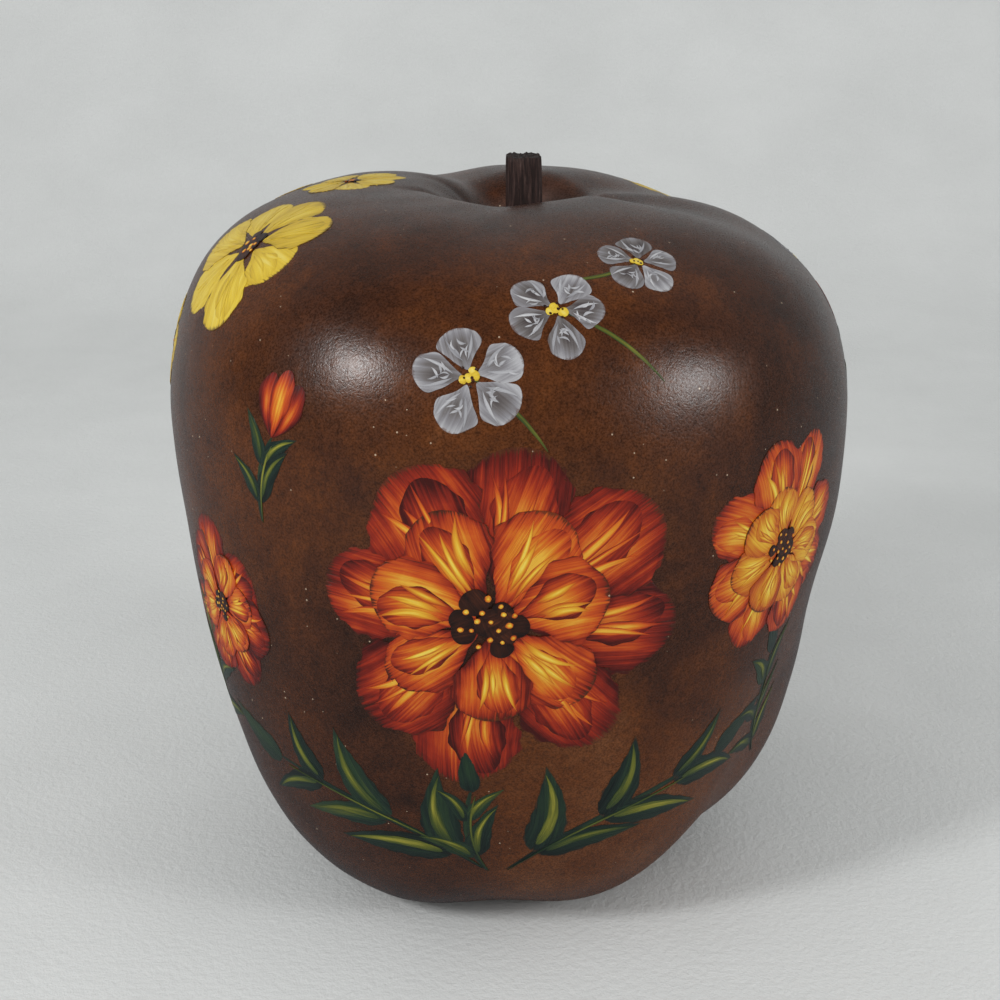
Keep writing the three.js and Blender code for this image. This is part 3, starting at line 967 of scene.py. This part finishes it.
@dataclass
class LeafSpray(Motif):
    """A bowed stem with pairs of leaves laid in one press and pull of the brush, and a bud if wanted."""

    length: float = 60
    pairs: int = 3
    leaf: float = 28
    bow: float = 0.18
    bud: bool = False

    def strokes(self) -> list[Stroke]:
        """Plans the stem, its leaves from its foot to its tip, and the bud or the last leaf.

        Returns:
            The marks, lowest first.
        """
        size, leaf = self.length * MM, self.leaf * MM
        marks = [Stroke((0, 0), (0, size), 2.0 * MM, Form.LINE, Paint.LEAF, 0, self.bow),
                 Stroke((0.5 * MM, 0), (0.6 * MM, size * 0.92), 0.7 * MM, Form.LINE, Paint.LIME, 3,
                        self.bow)]
        for pair in range(self.pairs):
            share = (pair + 0.5) / (self.pairs + 0.3)
            foot = (-2 * share * (1 - share) * self.bow * size, share * size)
            lean = math.degrees(math.atan2(-2 * (1 - 2 * share) * self.bow, 1))
            for side in (-1, 1):
                long = leaf * self.vary(0.85, 1.12) * (1 - 0.35 * share)
                across, up = polar(long, lean + side * self.vary(30, 48))
                wide = long * self.vary(0.28, 0.34)
                ends = [(foot[0] + across * part, foot[1] + up * part) for part in (0, 1, 0.1, 0.92)]
                marks.append(Stroke(ends[0], ends[1], wide, Form.COMMA, Paint.LEAF, 1, side * 0.14, 0.6))
                marks.append(Stroke(ends[2], ends[3], wide * 0.3, Form.COMMA, Paint.LIME, 3, side * 0.24))
        if not self.bud:
            return marks + [Stroke((0, size * 0.96), (0, size + leaf * 0.6), leaf * 0.24, Form.COMMA,
                                   Paint.LEAF, 1, 0.05, 0.6)]
        for side, load in ((-1, Paint.EMBER), (1, Paint.EMBER), (0, Paint.FLAME)):
            tip = (side * leaf * 0.24, size + leaf * (0.95 - 0.12 * abs(side)))
            marks.append(Stroke((0, size), tip, leaf * 0.4, Form.PETAL, load, 4 - 2 * abs(side),
                                -side * 0.2))
        return marks


# Each motif has its name, angle, height, turn and seed, and then its sizes
DESIGN: tuple[Motif, ...] = (
    LeafSpray("leaf_spray_front_left", -2, 27, 62, 11, length=68, leaf=34, bow=-0.22),
    LeafSpray("leaf_spray_front_right", 3, 27, -62, 12, length=68, leaf=34, bow=0.22),
    LeafSpray("leaf_spray_front_low", -1, 26, 6, 13, length=34, pairs=2, leaf=22),
    LeafSpray("bud_spray_front_left", -38, 124, -12, 14, length=22, pairs=2, leaf=17, bud=True),
    LeafSpray("leaf_spray_right", 66, 40, 22, 16, length=46, leaf=22),
    LeafSpray("leaf_spray_left", -68, 52, -16, 17, length=42, leaf=22, bow=-0.18),
    Rosette("rosette_front", 0, 106, 0, 21, radius=44),
    Rosette("rosette_front_right", 50, 112, 12, 22, radius=28, outer=Paint.FLAME, inner=Paint.SUN),
    Rosette("rosette_front_left", -52, 96, -8, 23, radius=22, petals=7),
    Blossom("blossom_front_1", -3, 163, 12, 31, radius=13, stalk=(-34, 24)),
    Blossom("blossom_front_2", 11, 176, 40, 32, radius=12, stalk=(-10, 30)),
    Blossom("blossom_front_3", 30, 183, -20, 33, radius=10, stalk=(60, 22)),
    Daisy("daisy_left_shoulder", -62, 181, 0, 41, radius=25),
    Daisy("daisy_left_crown", -100, 190.4, 20, 42, radius=14),
    Daisy("daisy_left_cheek", -84, 152, 20, 43, radius=15),
    LeafSpray("leaf_spray_back_left", 246, 36, 24, 51, length=54),
    LeafSpray("leaf_spray_back", 182, 30, 58, 52, length=60, bow=-0.2),
    LeafSpray("leaf_spray_back_low", 186, 30, -62, 53, length=60, bow=0.2),
    LeafSpray("leaf_spray_far_right", 118, 36, 14, 54, length=50, bow=-0.15),
    LeafSpray("bud_spray_back", 218, 128, 18, 55, length=24, pairs=2, leaf=17, bud=True),
    LeafSpray("bud_spray_far_right", 86, 130, -14, 56, length=22, pairs=2, leaf=17, bud=True),
    Rosette("rosette_back", 184, 104, 0, 61, radius=40),
    Rosette("rosette_far_right", 118, 106, 0, 62, radius=28, petals=7),
    Rosette("rosette_back_left", 250, 106, 0, 63, radius=28, outer=Paint.FLAME, inner=Paint.SUN),
    Blossom("blossom_back_1", 168, 170, 10, 71, radius=12, stalk=(-20, 26)),
    Blossom("blossom_back_2", 188, 178, 40, 72, radius=11, stalk=(-40, 26)),
    Blossom("blossom_right", 98, 172, -20, 73, radius=11, stalk=(20, 26)),
    Daisy("daisy_back_left", 240, 180, 10, 81, radius=20),
    Daisy("daisy_back_right", 134, 181, 0, 82, radius=18),
)


# The gourd's own pieces


@dataclass
class Shell:
    """The hollow rind, with its furrows and creases, open where the stem's root goes in."""

    sides: int = 216
    levels: int = 150
    wall: float = 5 * MM
    hole_radius: float = 3.5 * MM

    def build(self) -> Piece:
        """Shapes a sphere's rings along the outline and gives the skin its wall.

        Returns:
            The rind, in place of its CAD node.
        """
        pick()
        bpy.ops.mesh.primitive_uv_sphere_add(segments=self.sides, ring_count=self.levels, radius=1)
        piece = bpy.context.object
        piece.name = "rind"
        self.open_top(piece)
        mesh = piece.data
        ball = read_places(mesh)
        ring = np.round(np.arccos(np.clip(ball[:, 2], -1, 1)) / math.pi * self.levels)
        angle = np.arctan2(ball[:, 0], -ball[:, 1])
        first, last = SKIN.arc_of_radius(self.hole_radius), float(SKIN.table["arc"][-1])
        share = (ring - 1) / (self.levels - 1)
        places = SKIN.points(first + (last - first) * share, angle)
        places[:, 2] = np.maximum(places[:, 2], 0.0)
        mesh.vertices.foreach_set("co", places.ravel())
        mesh.update()
        give_wall(piece, self.wall)
        pick(piece)
        bpy.ops.object.shade_smooth()
        mesh.materials.append(RIND.material())
        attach(piece, BODY)
        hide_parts("gourd_shell")
        return piece

    def open_top(self, piece: Piece) -> None:
        """Deletes the pole at the top, where the stem's root goes in.

        Args:
            piece: the sphere.
        """
        with editing(piece, "DESELECT"):
            bpy.ops.mesh.select_mode(type="VERT")
        for vertex in piece.data.vertices:
            vertex.select = vertex.co.z > 1 - 1e-6
        with editing(piece):
            bpy.ops.mesh.delete(type="VERT")


def turned_piece(name: str, rings: Sequence[np.ndarray]) -> Piece:
    """Extrudes a disc ring by ring and sets each ring's points.

    Args:
        name: the piece's name.
        rings: coordinates of each ring's points, all counted the same way and of one number.

    Returns:
        A closed piece with a fan at each end.
    """
    pick()
    bpy.ops.mesh.primitive_circle_add(vertices=len(rings[0]), radius=1, fill_type="NGON")
    piece = bpy.context.object
    piece.name = name
    with editing(piece, "SELECT"):
        for _ in rings[1:]:
            bpy.ops.mesh.extrude_region_move(TRANSFORM_OT_translate={"value": (0, 0, 1)})
    piece.data.vertices.foreach_set("co", np.concatenate(rings).ravel())
    with editing(piece, "SELECT"):
        bpy.ops.mesh.normals_make_consistent(inside=False)
        bpy.ops.mesh.quads_convert_to_tris()
        bpy.ops.mesh.tris_convert_to_quads()
    piece.data.update()
    return piece


@dataclass(frozen=True)
class StemWood(Finish):
    """Dry woody fruit stalk, dyed nearly black, with pale broken fibres on its sawn top.

    The fibres run up it as fine ridges, and the dye has pooled between them. Fibres and crumbs are
    drawn coarser than life, because they would be too fine to show.
    """

    name: str = "gourd_stem_wood_dyed"
    tones: Stops = ((0.28, "#140b09"), (0.46, "#2a1a17"), (0.6, "#46322d"), (0.76, "#6a5650"))
    cut: Stops = ((0.3, "#1a1312"), (0.55, "#342c2a"), (0.8, "#655e5a"))
    fibre: float = 0.75 * MM
    fibre_stretch: float = 0.09
    crumb: float = 0.9 * MM
    cut_height: float = 197.6 * MM
    cut_depth: float = 1.2 * MM
    relief: float = 0.35 * MM

    def lay(self, add: AddNode) -> Look:
        """Builds the stem's pattern, of bark below and broken fibres on top.

        Args:
            add: adds a node to its tree.

        Returns:
            What the pattern gives the shader.
        """
        place = add("TexCoord").outputs["Object"]
        drawn = add("Mapping", {
            "Vector": place, "Scale": (1 / self.fibre, 1 / self.fibre, self.fibre_stretch / self.fibre)})
        fibres = add("TexNoise", {"Vector": drawn, "Scale": 1.0, "Detail": 4.0, "Roughness": 0.65})
        crumbs = add("TexNoise", {
            "Vector": place, "Scale": 1 / self.crumb, "Detail": 5.0, "Roughness": 0.75})
        normal = add("NewGeometry").outputs["Normal"]
        height, facing = [add("SeparateXYZ", (vector,)).outputs["Z"] for vector in (place, normal)]
        upper = add("MapRange", (height, self.cut_height - self.cut_depth, self.cut_height))
        sawn = add("Math", (upper, add("MapRange", (facing, 0.2, 0.75))), operation="MULTIPLY")
        bark, broken = add("ValToRGB", (fibres,), self.tones), add("ValToRGB", (crumbs,), self.cut)
        return Look(add("Mix", (sawn, bark, broken), data_type="RGBA"), 0.6,
                    add("Math", (fibres, crumbs), operation="ADD"), 0.7, self.relief, 0.3)


@dataclass
class Stem:
    """The ribbed stub of the stem, flared on the skin and cut off rough, with its root below.

    Rings are given in millimetres. The profile has each one's rise over the seat, its radius and its
    ribs. The cut has the same over the top, and how far the broken fibres stand up or down. Each ridge
    of the ribs and of the fibres has a share, how often it comes round, its twist and its phase.
    """

    sides: int = 80
    root_radius: float = 3.2 * MM
    root_bottom: float = 165.53 * MM
    foot_radius: float = 5.8 * MM
    foot_lift: float = 0.3 * MM
    length: float = 24.5 * MM
    lean: float = -0.5 * MM
    squareness: float = 0.62 * MM
    profile: tuple[tuple[float, ...], ...] = (
        (2.6, 5.4, 0.3), (4.5, 5.2, 0.36), (7, 5.05, 0.4), (10, 4.95, 0.42), (13, 4.9, 0.42),
        (16, 4.85, 0.42), (19, 4.8, 0.42), (21.5, 4.8, 0.42), (23.4, 4.75, 0.42), (24.4, 4.65, 0.42))
    cut: tuple[tuple[float, ...], ...] = (
        (0.05, 4.45, 0.4, 0.16), (-0.2, 3.4, 0.25, 0.14), (-0.5, 1.9, 0.1, 0.1))
    ribs: tuple[tuple[float, ...], ...] = (
        (0.5, 5, 0, 0.9), (0.3, 9, 60, 1.0), (0.2, 17, 0, 2.1), (0.1, 31, 90, 0))
    fibres: tuple[tuple[float, ...], ...] = ((1, 7, 0, 0.4), (0.8, 19, 0, 2), (0.6, 33, 0, 0))
    corner_phase: float = 0.86
    full_rib: float = 0.3 * MM
    wood: StemWood = StemWood()

    def ring(self, height: float, radius: float, rib: float = 0.0, rough: float = 0.0) -> np.ndarray:
        """Shapes one ring of the stub.

        Args:
            height: height over the floor.
            radius: mean radius.
            rib: how far the ribs stand out.
            rough: how far the broken fibres stand up or down.

        Returns:
            The ring's points.
        """
        turn = turns(self.sides)
        lean = self.lean * (height - SKIN.seat_height) / self.length
        centre = SKIN.stem_offset - SKIN.side_bulge + lean
        ribs, fibres = [sum(share * wave(often * turn + twist * height + phase)
                            for share, often, twist, phase in table)
                        for wave, table in ((np.cos, self.ribs), (np.sin, self.fibres))]
        squared = self.squareness * np.cos(4 * (turn - self.corner_phase)) * min(1.0, rib / self.full_rib)
        reach = radius + rib * ribs + squared
        return np.stack([centre + reach * np.sin(turn), -reach * np.cos(turn), height + rough * fibres],
                        axis=1)

    def build(self) -> Piece:
        """Builds the stem from its root to its cut.

        Returns:
            The stem, in place of its CAD node.
        """
        foot, hole = [SKIN.points(np.full(self.sides, SKIN.arc_of_radius(radius)), turns(self.sides),
                                  self.foot_lift) for radius in (self.foot_radius, Shell.hole_radius)]
        seat = SKIN.seat_height
        under = self.ring(seat, self.root_radius)
        under[:, 2] = hole[:, 2]
        rings = [self.ring(self.root_bottom, self.root_radius * 0.4),
                 self.ring(self.root_bottom, self.root_radius), under, foot]
        for base, group in ((seat, self.profile), (seat + self.length, self.cut)):
            rings += [self.ring(base + rise * MM, *[size * MM for size in sizes]) for rise, *sizes in group]
        piece = turned_piece("stem_stub", rings)
        smooth_by_angle(piece, 50)
        piece.data.materials.append(self.wood.material())
        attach(piece, BODY)
        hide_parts("stem")
        return piece


@dataclass(frozen=True)
class DryPlant(Finish):
    """A dry plant tissue such as pulp, cork or a seed's coat.

    Its fibres show as pale and dark flecks drawn out one way, and it has no gloss to speak of.
    """

    tones: Stops
    fleck: float
    stretch: float
    roughness: float
    relief: float

    def lay(self, add: AddNode) -> Look:
        """Builds the tissue's flecks.

        Args:
            add: adds a node to its tree.

        Returns:
            What the pattern gives the shader.
        """
        drawn = add("Mapping", {
            "Vector": add("TexCoord").outputs["Object"],
            "Scale": (1 / self.fleck, 1 / self.fleck, 1 / (self.fleck * self.stretch))})
        flecks = add("TexNoise", {
            "Vector": drawn, "Scale": 1.0, "Detail": 5.0, "Roughness": 0.65, "Distortion": 0.5})
        return Look(add("ValToRGB", (flecks,), self.tones), self.roughness, flecks, 0.8, self.relief)


class Tissue(Enum):
    """What the small and the hidden pieces of a dried fruit are made of."""

    PULP = DryPlant("dried_gourd_pulp", (
        (0.25, "#8a6c45"), (0.5, "#b9996a"), (0.75, "#d8c096")), 2.2 * MM, 3.0, 0.95, 0.8 * MM)
    SEED = DryPlant("gourd_seed_coat", (
        (0.25, "#7d6038"), (0.55, "#a98a5c"), (0.8, "#c9ae80")), 1.4 * MM, 1.5, 0.7, 0.3 * MM)
    CORK = DryPlant("blossom_scar_cork", (
        (0.25, "#3a281b"), (0.5, "#6d5138"), (0.8, "#94765a")), 0.9 * MM, 1.0, 0.9, 0.4 * MM)


@dataclass
class BlossomScar:
    """The corky disc under the navel, wrinkled in rings round a small point.

    Each ring has a radius and a depth below the skin in millimetres, from its buried back to its point.
    """

    sides: int = 48
    rings: tuple[Flat, ...] = (
        (0.5, 0.3), (4.2, 0.3), (6, 0.3), (6, 0.8), (5.1, 1.2), (4.3, 1.0), (3.6, 1.7), (2.8, 1.4),
        (1.9, 1.9), (0.9, 1.6), (0.3, 1.6))
    wrinkle: float = 0.12 * MM

    def ring(self, radius: float, lift: float) -> np.ndarray:
        """Shapes one ring round the navel.

        Args:
            radius: its radius.
            lift: how far below the skin it lies.

        Returns:
            The ring's points.
        """
        turn = turns(self.sides)
        wrinkle = self.wrinkle * np.sin(11 * turn + radius * 4000) * min(1.0, radius / (3 * MM))
        arc = np.full(self.sides, float(SKIN.table["arc"][-1]) - radius)
        return SKIN.points(arc, turn, lift + wrinkle)

    def build(self) -> Piece:
        """Builds the scar.

        Returns:
            The scar, in place of its CAD node.
        """
        piece = turned_piece("blossom_scar_disc", [self.ring(radius * MM, lift * MM)
                                                   for radius, lift in self.rings])
        smooth_by_angle(piece, 60)
        piece.data.materials.append(Tissue.CORK.value.material())
        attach(piece, BODY)
        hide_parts("blossom_scar")
        return piece


@dataclass
class Inside:
    """The dried pulp and the seeds, whose CAD shapes stay."""

    tissues: tuple[tuple[str, Tissue], ...] = (("pulp", Tissue.PULP), ("seed", Tissue.SEED))

    def dress(self) -> None:
        """Gives each node that stays the material of its tissue."""
        for word, tissue in self.tissues:
            material = tissue.value.material()
            for name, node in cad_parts.items():
                if word in name:
                    if not node.material_slots:
                        node.data.materials.append(material)
                    node.material_slots[0].material = material
                    LOG.info("%s dressed with %s", name, material.name)


# Floor, lights and camera


@dataclass(frozen=True)
class PlainCloth(Finish):
    """Pale plush backdrop, matt, with faint soft shading.

    Its front lies in the shade of the room, so the varnish mirrors it dimly there. Its pile is drawn
    coarser than life, because it would be too fine to show.
    """

    name: str = "plush_backdrop"
    tones: Stops = ((0.3, "#d6d8d7"), (0.7, "#dee0df"))
    shaded: str = "#83878b"
    shade: Limits = (-0.1, 0.5, 1.0, 0.45)
    cloud_scale: float = 9.0
    pile_scale: float = 420.0
    relief: float = 1.2 * MM

    def lay(self, add: AddNode) -> Look:
        """Builds the cloth's shading and its pile.

        Args:
            add: adds a node to its tree.

        Returns:
            What the pattern gives the shader.
        """
        place = add("TexCoord").outputs["Object"]
        clouds, pile = [add("TexNoise", {
            "Vector": place, "Scale": scale, "Detail": 3.0, "Roughness": rough})
            for scale, rough in ((self.cloud_scale, 0.6), (self.pile_scale, 0.7))]
        depth = add("SeparateXYZ", (place,)).outputs["Y"]
        mirrored = add("LightPath").outputs["Is Glossy Ray"]
        dim = add("Math", (add("MapRange", (depth, *self.shade)), mirrored), operation="MULTIPLY")
        pale = add("ValToRGB", (clouds,), self.tones)
        return Look(add("Mix", (dim, pale, linear(self.shaded)), data_type="RGBA"), 0.95, pile, 0.35,
                    self.relief, 0.1)


@dataclass(frozen=True)
class Lamp:
    """A soft box that shines on the gourd."""

    name: str
    place: Place
    aim: Place
    width: float
    height: float
    power: float

    def add(self) -> None:
        """Adds the lamp to the scene."""
        light = bpy.data.lights.new(self.name, "AREA")
        light.shape = "RECTANGLE"
        light.size, light.size_y = self.width, self.height
        light.energy = self.power
        lamp = bpy.data.objects.new(self.name, light)
        lamp.location = self.place
        lamp.rotation_euler = (Vector(self.aim) - Vector(self.place)).to_track_quat("-Z", "Y").to_euler()
        bpy.context.scene.collection.objects.link(lamp)


@dataclass
class Studio:
    """The floor, the backdrop, the lamps and the camera."""

    camera_place: Place = (-0.00248, -0.43203, 0.2616)
    camera_tilt: float = 20.096
    lens: float = 59.47
    room_tone: str = "#e6e6e6"
    ambient: float = 0.85
    bright_side: Place = (0.4, 0.85, 0.34)
    mirrored: Limits = (0.4, 0.95, 0.1, 0.6)
    lamps: tuple[Lamp, ...] = (
        Lamp("left_soft_box", (-0.703, -0.611, 0.672), (-0.034, -0.078, 0.165), 0.15, 0.24, 5.0),
        Lamp("right_soft_box", (0.919, -0.494, 0.440), (0.046, -0.072, 0.158), 0.24, 0.22, 3.2),
    )
    floor_width: float = 8.0
    floor_front: float = -3.0
    bend_start: float = 0.55
    bend_radius: float = 0.5
    wall_step: float = 0.2
    rows_a_part: int = 20

    def build(self) -> None:
        """Builds everything round the gourd."""
        self.add_sweep()
        for lamp in self.lamps:
            lamp.add()
        self.add_room()
        self.add_camera()

    def add_room(self) -> None:
        """Lights the scene from a pale room, which is dim where the varnish mirrors it."""
        world = bpy.data.worlds.new("studio")
        world.use_nodes = True
        world.node_tree.nodes.clear()
        add = partial(add_node, world.node_tree)
        mirrored = add("LightPath").outputs["Is Glossy Ray"]
        facing = add("VectorMath", (add("TexCoord").outputs["Generated"], self.bright_side),
                     operation="DOT_PRODUCT")
        wall = add("MapRange", (facing, *self.mirrored))
        strength = add("Mix", (mirrored, self.ambient, wall), data_type="FLOAT")
        add("OutputWorld", (add("Background", (linear(self.room_tone), strength)),))
        bpy.context.scene.world = world

    def add_sweep(self) -> None:
        """Adds the floor, which rises behind the gourd in one bend to a wall."""
        pick()
        part = self.rows_a_part
        bpy.ops.mesh.primitive_grid_add(x_subdivisions=2, y_subdivisions=3 * part, size=1)
        sweep = bpy.context.object
        sweep.name = "backdrop"
        for vertex in sweep.data.vertices:
            row = round((vertex.co.y + 0.5) * 3 * part)
            flat = min(row / part, 1)
            turn = min(max(row / part - 1, 0), 1) * math.pi / 2
            vertex.co = (vertex.co.x * self.floor_width,
                         self.floor_front + (self.bend_start - self.floor_front) * flat
                         + self.bend_radius * math.sin(turn),
                         self.bend_radius * (1 - math.cos(turn)) + max(row - 2 * part, 0) * self.wall_step)
        pick(sweep)
        bpy.ops.object.shade_smooth()
        sweep.data.materials.append(PlainCloth().material())

    def add_camera(self) -> None:
        """Adds the camera at the photograph's viewing angle."""
        data = bpy.data.cameras.new("camera")
        data.lens = self.lens
        data.sensor_width = 36.0
        data.clip_start, data.clip_end = 0.01, 30.0
        camera = bpy.data.objects.new("camera", data)
        camera.location = self.camera_place
        camera.rotation_euler = (math.radians(90 - self.camera_tilt), 0, 0)
        bpy.context.scene.collection.objects.link(camera)
        bpy.context.scene.camera = camera
        bpy.context.scene.view_settings.view_transform = "Standard"


def main() -> None:
    """Builds the studio, the gourd's own pieces and its painting."""
    Studio().build()
    pieces = [maker.build() for maker in (Shell(), Stem(), BlossomScar())]
    Inside().dress()
    brush = Brush()
    pieces += [motif.build(brush) for motif in DESIGN]
    brush.put_away()
    for piece in pieces:
        LOG.info("%s: %d faces", piece.name, len(piece.data.polygons))


if __name__ == "__main__":
    main()
